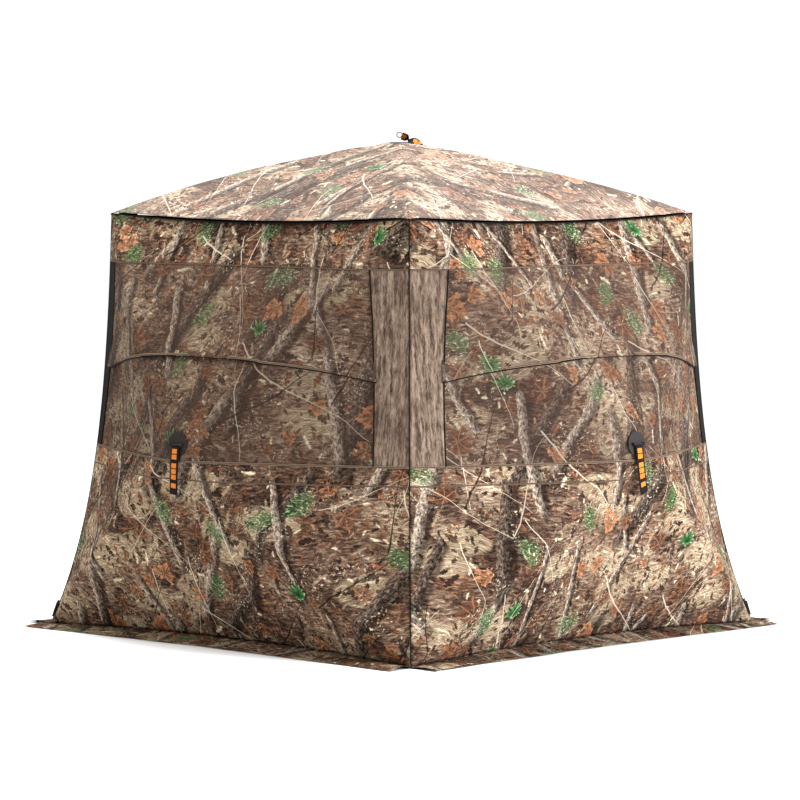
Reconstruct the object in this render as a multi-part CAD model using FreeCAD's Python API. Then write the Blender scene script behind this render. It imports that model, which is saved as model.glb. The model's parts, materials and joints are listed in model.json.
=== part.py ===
"""Pop up ground blind: a cloth shell on five hubs, each with four bent poles.

Millimetres, +Z up. The origin is on the ground at the middle of the floor. The four walls
face -Y (front), +X (right), +Y (back) and -X (left), and the roof is a fifth panel.
Every wall is made as the front wall and then turned about Z into its place.
"""
import FreeCAD, Part
import math
import os
from collections import namedtuple

Vector = FreeCAD.Vector
UP = Vector(0, 0, 1)
CENTRE = Vector(0, 0, 0)

# How a pull strap is held: its bar's direction, how far the bar stands off the hub's axis,
# the way the strap hangs or stands, and its length
Grip = namedtuple("Grip", "bar_axis shift way length")

# The shell: half widths of the square plan at three heights, and the peaks that the hubs hold
EAVE_HALF = 866.0
EAVE_Z = 1740.0
WAIST_HALF = 900.0
WAIST_Z = 830.0
BASE_HALF = 1055.0
ROOF_PEAK_Z = 2030.0
WALL_PEAK_OUT = 1297.0
WALL_PEAK_Z = 830.0
CLOTH_THICK = 1.5
WALL_ARCH = 52.0
ROOF_ARCH = 38.0
CLOTH_ROWS = (0.36, 0.68, 1.0)
CORNER_GAP = 3.0
EAVE_GAP = 4.0
HUB_HOLE_R = 62.0
PRISM_REACH = 2600.0

# The window band, the same on each wall
WINDOW_TOP_Z = 1540.0
WINDOW_HEM_Z = 1140.0
WINDOW_BOTTOM_Z = 765.0
WINDOW_SIDE_GAP = 134.0
COVER_SIDE_GAP = 4.0
COVER_SET_IN = 1.0
COVER_OVERLAP = 25.0

# The ground skirt, one strip outside each wall, and its stake eyelets
SKIRT_WIDTH = 145.0
SKIRT_HALF_LENGTH = 1060.0
SKIRT_THICK = 4.0
SKIRT_LIFT = 1.0
EYELET_INSET = 35.0
EYELET_HOLE_R = 6.0
EYELET_BARREL_R = 8.5
EYELET_FLANGE_R = 12.0
EYELET_FLANGE_THICK = 1.0
EYELET_CLEARANCE = 0.5

# Hub: a slotted disc with one pin for each pole, under a cap with an ear on each side of a bar
HUB_R = 46.0
HUB_THICK = 26.0
HUB_CHAMFER = 3.0
SLOT_WIDTH = 12.0
SLOT_INNER_R = 20.0
PIN_R = 2.0
PIN_RING_R = 33.0
PIN_LENGTH = 26.0
PIN_CLEARANCE = 0.05
CLOTH_ABOVE_HUB = 15.0
CAP_R = 52.0
CAP_THICK = 5.0
CAP_LIFT = 19.0
CAP_DOME = 2.0
STEM_R = 14.0
BAR_R = 3.0
BAR_HEIGHT = 9.0
BAR_LENGTH = 64.0
EAR_THICK = 5.0
EAR_DEPTH = 12.0

# Pole: an eyelet and ferrule at the hub, a bent rod, and a blunt tip
ROD_R = 4.75
FERRULE_R = 5.2
FERRULE_LENGTH = 50.0
EYE_R = 8.0
EYE_THICK = 11.0
TIP_R = 7.0
TIP_LENGTH = 50.0
WALL_BEND_DEG = 7.0
ROOF_BEND_DEG = 4.5
TIP_FILLET_R = 4.2
TIP_SETBACK = 81.0

# Corner pocket: a sewn cone that the pole tip slides in
POCKET_LENGTH = 72.0
POCKET_START = 26.0
POCKET_HALF_ANGLE = 16.0
POCKET_WALL = 1.5
POCKET_FLOOR = 1.5
POCKET_SINK = 3.5

# Pull strap: a doubled web sewn round the bar of its cap, with a ring on the roof's
STRAP_WIDTH = 48.0
STRAP_THICK = 4.0
STRAP_LENGTH = 200.0
STRAP_EYE_WALL = 2.0
STRAP_CLEARANCE = 0.1
ROOF_STRAP_LENGTH = 34.0
ROOF_STRAP_RISE_DEG = 28.0
ROOF_BAR_SHIFT = 30.0
ROOF_BAR_TURN_DEG = 45.0
RING_R = 11.0
RING_WIRE_R = 2.0

# Door zip: a slider on the lower run of the back left corner seam, and the door's tape
ZIP_START_Z = 90.0
ZIP_OUT = 8.5
SLIDER_LENGTH = 16.0
SLIDER_WIDTH = 11.0
SLIDER_THICK = 6.0
TAB_LENGTH = 34.0
TAB_WIDTH = 8.0
TAB_THICK = 1.5
TAPE_WIDTH = 16.0
TAPE_THICK = 1.5
TAPE_LIFT = 4.0

WALL_TURN_DEG = {"front": 0, "right": 90, "back": 180, "left": 270}
SIDES = {"left": -1, "right": 1}


def turned(shape, degrees):
    """A copy of a front wall's shape, turned about Z into another wall's place."""
    copy = shape.copy()
    copy.rotate(CENTRE, UP, degrees)
    return copy


def unit(vector):
    return vector * (1.0 / vector.Length)


def seam_half(z):
    """Half width of the shell along its corner seams, which bend at the waist."""
    if z >= WAIST_Z:
        t = (z - WAIST_Z) / (EAVE_Z - WAIST_Z)
        return WAIST_HALF + t * (EAVE_HALF - WAIST_HALF)
    t = z / WAIST_Z
    return BASE_HALF + t * (WAIST_HALF - BASE_HALF)


class Panel:
    """One hub's panel: its peak, its four corners, and the plane that the corners lie in."""

    def __init__(self, peak, corners, normal, arch, bend_deg):
        self.peak = peak
        self.corners = corners
        self.normal = normal
        self.arch = arch
        self.bend_deg = bend_deg
        first = next(iter(corners.values()))
        self.depth = (peak - first).dot(normal)
        self.foot = peak - normal * self.depth
        self.hub = peak - normal * CLOTH_ABOVE_HUB

    def radial(self, corner):
        """Unit vector in the corner plane, from under the peak towards a corner."""
        return unit(self.corners[corner] - self.foot)

    def ridge(self, corner, s):
        """A point of the cloth over a pole, from the peak at s = 0 to the corner at s = 1."""
        end = self.corners[corner]
        chord = end - self.peak
        tangent = self.radial(corner).cross(self.normal)
        outward = unit(tangent.cross(chord))
        return self.peak + chord * s + outward * (4 * self.arch * s * (1 - s))


def wall_panel():
    corners = {}
    for side, sign in SIDES.items():
        corners["upper_" + side] = Vector(sign * EAVE_HALF, -EAVE_HALF, EAVE_Z)
        corners["lower_" + side] = Vector(sign * BASE_HALF, -BASE_HALF, 0)
    lean = Vector(0, BASE_HALF - EAVE_HALF, EAVE_Z)
    normal = unit(lean.cross(Vector(-1, 0, 0)))
    peak = Vector(0, -WALL_PEAK_OUT, WALL_PEAK_Z)
    return Panel(peak, corners, normal, WALL_ARCH, WALL_BEND_DEG)


def roof_panel():
    corners = {}
    for depth_name, depth_sign in (("front", -1), ("back", 1)):
        for side, sign in SIDES.items():
            place = Vector(sign * EAVE_HALF, depth_sign * EAVE_HALF, EAVE_Z)
            corners[depth_name + "_" + side] = place
    return Panel(Vector(0, 0, ROOF_PEAK_Z), corners, UP, ROOF_ARCH, ROOF_BEND_DEG)


def plate(points, inward):
    """A flat convex plate: a polygon pushed through the cloth's thickness."""
    face = Part.Face(Part.makePolygon(points + [points[0]]))
    return face.extrude(inward * CLOTH_THICK)


def first_row(panel):
    """How far down the ridges the cloth starts, so that it is open round the hub."""
    longest = max((corner - panel.foot).Length for corner in panel.corners.values())
    return HUB_HOLE_R * math.sqrt(2) / longest


def strip_between(row_above, row_below, inward):
    """Plates between two rows of points, each four cornered cell cut into two triangles."""
    plates = []
    for i in range(len(row_above) - 1):
        a, b = row_above[i], row_above[i + 1]
        c, d = row_below[i], row_below[i + 1]
        plates.append(plate([a, b, d], inward))
        plates.append(plate([a, d, c], inward))
    return plates


def gore(panel, corner_a, corner_b, inward):
    """A flat sided gore between two ridges: one plate for each row of cloth."""
    plates = []
    s = first_row(panel)
    for s_next in CLOTH_ROWS:
        a, b = panel.ridge(corner_a, s), panel.ridge(corner_b, s)
        c, d = panel.ridge(corner_b, s_next), panel.ridge(corner_a, s_next)
        plates.append(plate([a, b, c, d], inward))
        s = s_next
    return plates


def side_gore(panel, side, inward):
    """The gore beside a corner seam, which draws in towards the waist at its middle."""
    sign = SIDES[side]
    waist = Vector(sign * WAIST_HALF, -WAIST_HALF, WAIST_Z)
    upper, lower = "upper_" + side, "lower_" + side
    share = (EAVE_Z - WAIST_Z) / EAVE_Z
    straight = panel.corners[upper] * (1 - share) + panel.corners[lower] * share
    plates = []
    rows = []
    for s in (first_row(panel),) + CLOTH_ROWS:
        high, low = panel.ridge(upper, s), panel.ridge(lower, s)
        middle = high * (1 - share) + low * share + (waist - straight) * (s * s)
        rows.append([high, middle, low])
    for above, below in zip(rows, rows[1:]):
        plates += strip_between(above, below, inward)
    return plates


def trimmed(plates, keep):
    """Plates cut back to a box, leaving out the ones that lie outside it."""
    kept = []
    for shape in plates:
        for solid in shape.common(keep).Solids:
            kept.append(solid)
    return kept


def front_prism(outline):
    """An outline of (x, z) points as a prism that runs right through the front wall."""
    far = -PRISM_REACH
    points = [Vector(x, far, z) for x, z in outline]
    return Part.Face(Part.makePolygon(points + [points[0]])).extrude(Vector(0, -far, 0))


def window_half(z):
    """Half width of the window opening, whose straight sides follow the corner seams."""
    top, bottom = seam_half(WINDOW_TOP_Z), seam_half(WINDOW_BOTTOM_Z)
    t = (z - WINDOW_BOTTOM_Z) / (WINDOW_TOP_Z - WINDOW_BOTTOM_Z)
    return bottom + t * (top - bottom) - WINDOW_SIDE_GAP


def window_band(low_z, high_z, gap):
    """The window opening between two heights, as a prism, its sides drawn in by a gap."""
    low, high = window_half(low_z) - gap, window_half(high_z) - gap
    return front_prism([(-low, low_z), (low, low_z), (high, high_z), (-high, high_z)])


def column_beside_window(sign):
    """The shell between the window opening and one corner, as a prism."""
    low, high = window_half(WINDOW_BOTTOM_Z), window_half(WINDOW_TOP_Z)
    outline = [
        (sign * low, WINDOW_BOTTOM_Z),
        (sign * BASE_HALF, WINDOW_BOTTOM_Z),
        (sign * BASE_HALF, WINDOW_TOP_Z),
        (sign * high, WINDOW_TOP_Z),
    ]
    return front_prism(outline)


def full_band(low_z, high_z):
    """The whole width of the wall between two heights, as a prism."""
    half = BASE_HALF
    return front_prism([(-half, low_z), (half, low_z), (half, high_z), (-half, high_z)])


def shell_limits():
    """The front wall's share of the shell: inside both corner seams, off the skirt and eave."""
    low, high = SKIRT_THICK + SKIRT_LIFT, EAVE_Z - EAVE_GAP
    outline = [(seam_half(z) - CORNER_GAP, z) for z in (low, WAIST_Z, high)]
    outline += [(CORNER_GAP - seam_half(z), z) for z in (high, WAIST_Z, low)]
    return front_prism(outline)


def wall_plates(panel):
    inward = Vector(0, 1, 0)
    plates = gore(panel, "upper_left", "upper_right", inward)
    plates += gore(panel, "lower_right", "lower_left", inward)
    for side in SIDES:
        plates += side_gore(panel, side, inward)
    return trimmed(plates, shell_limits())


def wall_cloth(plates):
    """The wall's shell cloth: the plates round the window, cut into simple convex pieces."""
    solids = trimmed(plates, full_band(WINDOW_TOP_Z, EAVE_Z))
    solids += trimmed(plates, full_band(0, WINDOW_BOTTOM_Z))
    for sign in SIDES.values():
        solids += trimmed(plates, column_beside_window(sign))
    return Part.Compound(solids)


def window_cover(plates, low_z, high_z, layer):
    """A window cover: the wall's own surface across the opening, set in by whole layers."""
    solids = trimmed(plates, window_band(low_z, high_z, COVER_SIDE_GAP))
    for solid in solids:
        solid.translate(Vector(0, layer * (CLOTH_THICK + COVER_SET_IN), 0))
    return Part.Compound(solids)


def roof_cloth(panel):
    inward = Vector(0, 0, -1)
    order = ["front_left", "front_right", "back_right", "back_left"]
    plates = []
    for here, there in zip(order, order[1:] + order[:1]):
        plates += gore(panel, here, there, inward)
    return Part.Compound(plates)


def disc(centre, axis, radius, low, high):
    """A cylinder along an axis, from low to high measured from its centre."""
    return Part.makeCylinder(radius, high - low, centre + axis * low, axis)


def block(centre, along, across, up, lengths):
    """A box centred on a point, with its sides along three directions."""
    corner = centre
    for axis, length in zip((along, across, up), lengths):
        corner = corner - axis * (length / 2)
    points = [
        corner,
        corner + along * lengths[0],
        corner + along * lengths[0] + across * lengths[1],
        corner + across * lengths[1],
    ]
    face = Part.Face(Part.makePolygon(points + [points[0]]))
    return face.extrude(up * lengths[2])


def pin_place(panel, corner):
    return panel.hub + panel.radial(corner) * PIN_RING_R


def hub_core(panel):
    """The hub's moulded disc, with an open slot and a pin hole for each pole."""
    core = disc(panel.hub, panel.normal, HUB_R, -HUB_THICK / 2, HUB_THICK / 2)
    core = core.makeChamfer(HUB_CHAMFER, [edge for edge in core.Edges if edge.Closed and edge.Length > HUB_R])
    for corner in panel.corners:
        radial = panel.radial(corner)
        tangent = radial.cross(panel.normal)
        length = HUB_R
        middle = panel.hub + radial * (SLOT_INNER_R + length / 2)
        slot = block(middle, radial, tangent, panel.normal, (length, SLOT_WIDTH, 2 * HUB_THICK))
        hole = disc(pin_place(panel, corner), tangent, PIN_R, -PIN_LENGTH / 2, PIN_LENGTH / 2)
        core = core.cut(slot).cut(hole)
    return core


def hub_pins(panel):
    """The four pins that the pole eyelets turn on."""
    pins = []
    for corner in panel.corners:
        tangent = panel.radial(corner).cross(panel.normal)
        pins.append(disc(pin_place(panel, corner), tangent, PIN_R, -PIN_LENGTH / 2, PIN_LENGTH / 2))
    return Part.Compound(pins)


def bar_middle(panel, grip):
    """The middle of the bar that a cap's pull strap is sewn round."""
    return panel.hub + panel.normal * (CAP_LIFT + CAP_THICK + BAR_HEIGHT) + grip.shift


def hub_cap(panel, grip):
    """The outer cap: a domed disc on a stem, two ears, and the bar between them."""
    normal = panel.normal
    stem = disc(panel.hub, normal, STEM_R, HUB_THICK / 2, CAP_LIFT)
    top = disc(panel.hub, normal, CAP_R, CAP_LIFT, CAP_LIFT + CAP_THICK)
    rim = [edge for edge in top.Edges if edge.Closed and edge.Length > CAP_R]
    cap = stem.fuse(top.makeFillet(CAP_DOME, rim))
    middle = bar_middle(panel, grip)
    low, high = BAR_HEIGHT + CAP_DOME, BAR_R + CAP_DOME
    depth = normal.cross(grip.bar_axis)
    for sign in SIDES.values():
        place = middle + grip.bar_axis * (sign * (BAR_LENGTH - EAR_THICK) / 2)
        place = place + normal * ((high - low) / 2)
        ear = block(place, grip.bar_axis, depth, normal, (EAR_THICK, EAR_DEPTH, low + high))
        cap = cap.fuse(ear)
    bar = disc(middle, grip.bar_axis, BAR_R, -BAR_LENGTH / 2, BAR_LENGTH / 2)
    return cap.fuse(bar).removeSplitter()


def pull_strap(panel, grip):
    """A flat web leaving the bar, with a sewn eye round the bar at its near end."""
    middle = bar_middle(panel, grip)
    half = STRAP_WIDTH / 2
    eye_r = BAR_R + STRAP_CLEARANCE + STRAP_EYE_WALL
    eye = disc(middle, grip.bar_axis, eye_r, -half, half)
    flat = grip.bar_axis.cross(grip.way)
    lengths = (STRAP_WIDTH, STRAP_THICK, grip.length)
    web = block(middle + grip.way * (grip.length / 2), grip.bar_axis, flat, grip.way, lengths)
    bore = disc(middle, grip.bar_axis, BAR_R + STRAP_CLEARANCE, -half, half)
    return eye.fuse(web).cut(bore).removeSplitter()


def pull_ring(panel, grip):
    """The wire ring at the end of the roof's strap."""
    place = bar_middle(panel, grip) + grip.way * (grip.length + RING_R + RING_WIRE_R)
    return Part.makeTorus(RING_R, RING_WIRE_R, place, grip.bar_axis)


def pole(panel, corner):
    """One pole: eyelet and ferrule, bent rod and tip, each its own solid on one curve."""
    radial = panel.radial(corner)
    tangent = radial.cross(panel.normal)
    pin = pin_place(panel, corner)
    end = panel.corners[corner] - radial * TIP_SETBACK
    chord = unit(end - pin)
    outward = unit(tangent.cross(chord))
    bend = math.radians(panel.bend_deg)
    start_way = chord * math.cos(bend) + outward * math.sin(bend)
    end_way = chord * math.cos(bend) - outward * math.sin(bend)
    rod_start = pin + start_way * FERRULE_LENGTH
    rod_end = end - end_way * TIP_LENGTH
    bend_r = (rod_end - rod_start).Length / (2 * math.sin(bend))
    bend_centre = (rod_start + rod_end) * 0.5 - outward * (bend_r * math.cos(bend))
    section = Part.Face(Part.Wire([Part.Circle(rod_start, start_way, ROD_R).toShape()]))
    rod = section.revolve(bend_centre, outward.cross(chord), 2 * panel.bend_deg)

    eye = disc(pin, tangent, EYE_R, -EYE_THICK / 2, EYE_THICK / 2)
    ferrule = Part.makeCylinder(FERRULE_R, FERRULE_LENGTH, pin, start_way)
    bore = disc(pin, tangent, PIN_R + PIN_CLEARANCE, -EYE_THICK, EYE_THICK)
    fitting = eye.fuse(ferrule).cut(bore).removeSplitter()

    tip = Part.makeCylinder(TIP_R, TIP_LENGTH, rod_end, end_way)
    far_edge = [e for e in tip.Edges if e.Closed and (e.CenterOfMass - end).Length < TIP_R]
    tip = tip.makeFillet(TIP_FILLET_R, far_edge)
    return Part.Compound([fitting, rod, tip])


def pocket(panel, corner):
    """The sewn cone in a corner that keeps a pole's tip, open towards the hub."""
    radial = panel.radial(corner)
    slope = math.tan(math.radians(POCKET_HALF_ANGLE))
    seat = panel.corners[corner] - radial * POCKET_START - panel.normal * POCKET_SINK
    mouth_r = (POCKET_START + POCKET_LENGTH) * slope
    seat_r = POCKET_START * slope
    away = radial * -1
    outer = Part.makeCone(seat_r + POCKET_WALL, mouth_r + POCKET_WALL, POCKET_LENGTH, seat, away)
    inner_length = POCKET_LENGTH - POCKET_FLOOR
    inner = Part.makeCone(seat_r, mouth_r, inner_length, seat + away * POCKET_FLOOR, away)
    return outer.cut(inner)


def corner_pockets(wall, roof):
    """All the pockets that fit in the shell's corners."""
    pockets = [pocket(roof, corner) for corner in roof.corners]
    for degrees in WALL_TURN_DEG.values():
        for corner in wall.corners:
            pockets.append(turned(pocket(wall, corner), degrees))
    return Part.Compound(pockets)


def eyelet_places():
    """Where the front strip's two stake eyelets are."""
    x = SKIRT_HALF_LENGTH - EYELET_INSET
    y = -(BASE_HALF + SKIRT_WIDTH - EYELET_INSET)
    return [Vector(sign * x, y, 0) for sign in SIDES.values()]


def skirt_strip():
    """The front skirt: a flat strip on the ground with a hole for each stake eyelet."""
    corner = Vector(-SKIRT_HALF_LENGTH, -BASE_HALF - SKIRT_WIDTH, 0)
    strip = Part.makeBox(2 * SKIRT_HALF_LENGTH, SKIRT_WIDTH, SKIRT_THICK, corner)
    for place in eyelet_places():
        hole_r = EYELET_BARREL_R + EYELET_CLEARANCE
        strip = strip.cut(disc(place, UP, hole_r, -SKIRT_THICK, 2 * SKIRT_THICK))
    return strip


def eyelets():
    """The front strip's two eyelets: a short barrel with a flange on the cloth."""
    rings = []
    for place in eyelet_places():
        top = SKIRT_THICK + EYELET_FLANGE_THICK
        barrel = disc(place, UP, EYELET_BARREL_R, EYELET_CLEARANCE, SKIRT_THICK)
        flange = disc(place, UP, EYELET_FLANGE_R, SKIRT_THICK, top)
        hole = disc(place, UP, EYELET_HOLE_R, 0, 2 * top)
        rings.append(barrel.fuse(flange).cut(hole).removeSplitter())
    return rings


def zip_seam(z):
    """A point on the back left corner seam."""
    half = seam_half(z)
    return Vector(-half, half, z)


def zip_frame():
    """The zip's directions: along the seam upwards, out of the corner, and across it."""
    along = unit(zip_seam(WAIST_Z) - zip_seam(0))
    across = unit(Vector(1, 1, 0))
    out = unit(across.cross(along))
    return along, across, out


def zip_tape():
    """The zip's tape and teeth, a flat strip on the lower run of the corner seam."""
    along, across, out = zip_frame()
    low, high = zip_seam(ZIP_START_Z / 2), zip_seam(WAIST_Z)
    middle = (low + high) * 0.5 + out * TAPE_LIFT
    lengths = ((high - low).Length, TAPE_WIDTH, TAPE_THICK)
    return block(middle, along, across, out, lengths)


def zip_slider():
    """The slider body on the tape, with its pull tab hanging from it."""
    along, across, out = zip_frame()
    place = zip_seam(ZIP_START_Z) + out * ZIP_OUT
    body = block(place, along, across, out, (SLIDER_LENGTH, SLIDER_WIDTH, SLIDER_THICK))
    drop = place + out * ((SLIDER_THICK + TAB_THICK) / 2) - along * (TAB_LENGTH / 2)
    tab = block(drop, along, across, out, (TAB_LENGTH, TAB_WIDTH, TAB_THICK))
    return body.fuse(tab).removeSplitter()


def write(name, shape):
    shape.exportStep(os.path.join("parts", name + ".step"))


def write_hub(panel, name, grip, degrees):
    """A hub with its pins, cap, strap and poles, turned into place."""
    write("hub_core_" + name, turned(hub_core(panel), degrees))
    write("hub_pins_" + name, turned(hub_pins(panel), degrees))
    write("hub_cap_" + name, turned(hub_cap(panel, grip), degrees))
    write("pull_strap_" + name, turned(pull_strap(panel, grip), degrees))
    for corner in panel.corners:
        write("pole_" + name + "_" + corner, turned(pole(panel, corner), degrees))


def wall_grip():
    return Grip(Vector(1, 0, 0), CENTRE, UP * -1, STRAP_LENGTH)


def roof_grip():
    """The roof's strap leans back over its cap from a bar on one diagonal."""
    rise = math.radians(ROOF_STRAP_RISE_DEG)
    turn = math.radians(ROOF_BAR_TURN_DEG)
    out = Vector(math.cos(turn), math.sin(turn), 0)
    way = UP * math.sin(rise) - out * math.cos(rise)
    return Grip(UP.cross(out), out * ROOF_BAR_SHIFT, way, ROOF_STRAP_LENGTH)


def write_walls(wall, plates):
    """Each wall's cloth, window covers, hub, skirt strip and eyelets."""
    shell = wall_cloth(plates)
    flap = window_cover(plates, WINDOW_HEM_Z, WINDOW_TOP_Z + COVER_OVERLAP, 1)
    screen_low, screen_high = WINDOW_BOTTOM_Z - COVER_OVERLAP, WINDOW_HEM_Z + COVER_OVERLAP
    screen = window_cover(plates, screen_low, screen_high, 2)
    strips = []
    rings = []
    for name, degrees in WALL_TURN_DEG.items():
        write("wall_cloth_" + name, turned(shell, degrees))
        write("window_flap_" + name, turned(flap, degrees))
        write("window_screen_" + name, turned(screen, degrees))
        write_hub(wall, name, wall_grip(), degrees)
        strips.append(turned(skirt_strip(), degrees))
        rings += [turned(ring, degrees) for ring in eyelets()]
    write("ground_skirt", Part.Compound(strips))
    write("stake_eyelets", Part.Compound(rings))


def main():
    os.makedirs("parts", exist_ok=True)
    wall = wall_panel()
    roof = roof_panel()
    write_walls(wall, wall_plates(wall))
    write_hub(roof, "roof", roof_grip(), 0)
    write("roof_pull_ring", pull_ring(roof, roof_grip()))
    write("roof_cloth", roof_cloth(roof))
    write("corner_pockets", corner_pockets(wall, roof))
    write("door_zip_tape", zip_tape())
    write("door_zip_slider", zip_slider())


main()
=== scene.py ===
"""Looks for the pop up ground blind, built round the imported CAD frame. Metres, +Z up."""
import json
import math
from types import SimpleNamespace

import bpy
import numpy as np
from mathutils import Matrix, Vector


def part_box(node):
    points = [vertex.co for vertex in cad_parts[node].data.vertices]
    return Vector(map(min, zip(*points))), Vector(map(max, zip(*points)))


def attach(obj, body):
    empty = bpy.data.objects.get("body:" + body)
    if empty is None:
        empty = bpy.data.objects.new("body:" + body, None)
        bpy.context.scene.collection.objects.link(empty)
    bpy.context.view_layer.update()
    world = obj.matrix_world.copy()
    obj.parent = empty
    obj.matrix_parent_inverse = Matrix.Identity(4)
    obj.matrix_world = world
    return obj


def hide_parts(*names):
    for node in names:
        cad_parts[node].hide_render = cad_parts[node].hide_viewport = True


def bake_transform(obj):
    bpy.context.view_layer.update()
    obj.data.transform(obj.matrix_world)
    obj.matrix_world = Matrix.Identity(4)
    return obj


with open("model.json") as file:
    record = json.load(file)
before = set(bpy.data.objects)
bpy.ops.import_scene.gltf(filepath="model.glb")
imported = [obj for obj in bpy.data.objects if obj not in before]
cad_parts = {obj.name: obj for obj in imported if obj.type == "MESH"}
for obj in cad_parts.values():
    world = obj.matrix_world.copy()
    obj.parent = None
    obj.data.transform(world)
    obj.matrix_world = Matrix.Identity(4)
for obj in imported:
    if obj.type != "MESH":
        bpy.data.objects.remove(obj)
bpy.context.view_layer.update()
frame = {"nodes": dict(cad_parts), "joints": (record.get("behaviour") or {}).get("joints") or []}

# The shell's main sizes, as the CAD has them
EAVE_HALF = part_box("roof_cloth")[1].x
EAVE_Z = 1.740
ROOF_PEAK_Z = 2.030
BASE_HALF = 1.055
SKIRT_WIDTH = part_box("ground_skirt")[1].x - BASE_HALF
WALL_PEAK_OUT = 1.297
HUB_Z = 0.830

# How the cloth departs from straight lines between them
SEAM_TOP_HALF = 0.853
SEAM_FALL = 0.62
FOOT_BOW = 0.040
FOOT_RISE = 0.026
WALL_ARCH = 0.052
ROOF_ARCH = 0.036
ROOF_ARCH_DROP = 0.006
WALL_DIP = 0.024
ROOF_DIP = 0.010
EAVE_SAG = 0.028
RIDGE_ROUND = 0.012
RELIEF = 0.0022

# The cloth at a hub
HUB_FLAT_R = 0.052
HUB_SKIRT_R = 0.120
WALL_HUB_SLOPE = 0.20
ROOF_HUB_SLOPE = 0.16

# The window band
WINDOW_TOP_Z = 1.540
WINDOW_BOTTOM_Z = 0.765
WINDOW_SIDE_GAP = 0.134
MESH_COLUMN = 0.105
MESH_TAPER = 0.045
HEM_END_Z = 1.100
HEM_RISE = 0.078
LOWER_SEAM_Z = 0.690
COVER_OVERLAP = 0.022
COVER_REACH = 0.012
FLAP_SINK = 0.002
FLAP_LIFT = 0.014
SCREEN_SINK = 0.005

CLOTH_THICK = 0.0012
SEAM_THICK = 0.002

# Pockets at the ends of the poles
POCKET_START = 0.030
POCKET_LENGTH = 0.075
POCKET_SINK = 0.006
POCKET_DEPTH = 0.034
POCKET_SPREAD = 0.022

# Pull straps
STRAP_WIDTH = 0.046
STRAP_THICK = 0.0022
STRAP_LENGTH = 0.202
STRAP_CURL = 0.006
STRAP_LEAN = {"front": 0.010, "right": -0.034, "back": 0.010, "left": -0.012}
ROOF_STRAP_LENGTH = 0.036
ROOF_STRAP_CURL = 0.002
ROOF_STRAP_RISE_DEG = 28.0
ROOF_STRAP_ROLL_DEG = 42.0
ROOF_TAIL_REACH = 0.061
BLOCK_PITCH = 0.023
BLOCK_HALF_WIDTH = 0.0142

WALL_TURN_DEG = {"front": 0, "right": 90, "back": 180, "left": 270}
BARK_CORNERS = {
    "front": (False, True), "right": (True, False), "back": (False, False), "left": (False, False),
}
PRINT_SHIFT = {"front": (0.0, 0.0), "right": (3.37, 0.21), "back": (7.13, 0.44), "left": (11.71, 0.09)}
ROOF_PRINT_SHIFT = (20.3, 4.4)
WEAVE_PITCH = 0.0024
STEP = 0.012

# The camera and the light
CAMERA_AZIMUTH_DEG = 43.7
CAMERA_DISTANCE = 17.4
CAMERA_Z = 2.06
CAMERA_LENS = 185.4
AIM_Z = 0.950
AIM_LEFT = 0.009
WORLD_LIGHT = 1.15
FLOOR_HALF = 60.0
FLOOR_Z = -0.001


# -------------------- small maths

def soft_max(a, b, width):
    """The larger of two arrays, with the corner between them rounded."""
    return (a + b + np.sqrt((a - b) ** 2 + width ** 2)) / 2


def smooth_step(low, high, x):
    """0 below low, 1 above high and a smooth rise between; it falls where high is the smaller."""
    t = np.clip((x - low) / (high - low), 0, 1)
    return t * t * (3 - 2 * t)


def ripple(a, b, seed, waves=7, longest=0.9, shortest=0.16):
    """Smooth pseudo random relief from a few plane waves, about -1 to 1."""
    rng = np.random.default_rng(seed)
    total = np.zeros(np.broadcast(a, b).shape)
    for length in np.geomspace(longest, shortest, waves):
        way = rng.uniform(0, 2 * math.pi)
        phase = rng.uniform(0, 2 * math.pi)
        across = a * math.cos(way) + b * math.sin(way)
        total = total + math.sqrt(length / longest) * np.sin(2 * math.pi * across / length + phase)
    return total / math.sqrt(waves)


def seam_half(z):
    """Half width of the shell along its corner seams, which flare towards the ground."""
    return SEAM_TOP_HALF + (BASE_HALF - SEAM_TOP_HALF) * np.exp(-z / SEAM_FALL)


def window_half(z, bark):
    """Half width of the window opening beside a bark column, or beside a mesh column, which narrows."""
    if not bark:
        return seam_half(z) - MESH_COLUMN + MESH_TAPER * smooth_step(WINDOW_TOP_Z, WINDOW_BOTTOM_Z, z)
    t = (z - WINDOW_BOTTOM_Z) / (WINDOW_TOP_Z - WINDOW_BOTTOM_Z)
    low, high = seam_half(WINDOW_BOTTOM_Z), seam_half(WINDOW_TOP_Z)
    return low + t * (high - low) - WINDOW_SIDE_GAP


def eave_z(x):
    """Height of the eave seam, which hangs a little between its corners."""
    return EAVE_Z - EAVE_SAG * (1 - np.clip(np.abs(x) / EAVE_HALF, 0, 1) ** 2)


def mid_share(x):
    """1 at the middle of a wall's foot and 0 at its corners."""
    return 1 - np.clip(np.abs(x) / BASE_HALF, 0, 1) ** 2


def foot_z(x):
    """Height of the crease where the wall meets the skirt."""
    return 0.006 + FOOT_RISE * mid_share(x)


def foot_out(x):
    """How far out the wall's foot stands: it bows in between its corners."""
    return BASE_HALF - FOOT_BOW * mid_share(x)


def wall_gauge(x, z):
    """How far a point of the front wall is from its hub, 0 at the hub and 1 at the wall's edges, and
    how far it is from the nearest ridge between two of the wall's four faces."""
    dx, dz = np.abs(x), z - HUB_Z
    top = dz / (eave_z(x) - HUB_Z)
    bottom = -dz / HUB_Z
    ends = soft_max(top, bottom, RIDGE_ROUND)
    side = np.maximum(dx / EAVE_HALF, 1e-4)
    for _ in range(10):
        along = np.clip(HUB_Z + dz / np.maximum(side, 1e-4), 0, EAVE_Z)
        side = np.maximum(dx / seam_half(along), 1e-4)
    return np.clip(soft_max(ends, side, RIDGE_ROUND), 0, 1), np.abs(ends - side)


def arch_over(s, arch):
    """How far the bent poles lift the cloth above a straight line from hub to corner."""
    return 4 * arch * s * (1 - s)


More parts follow.
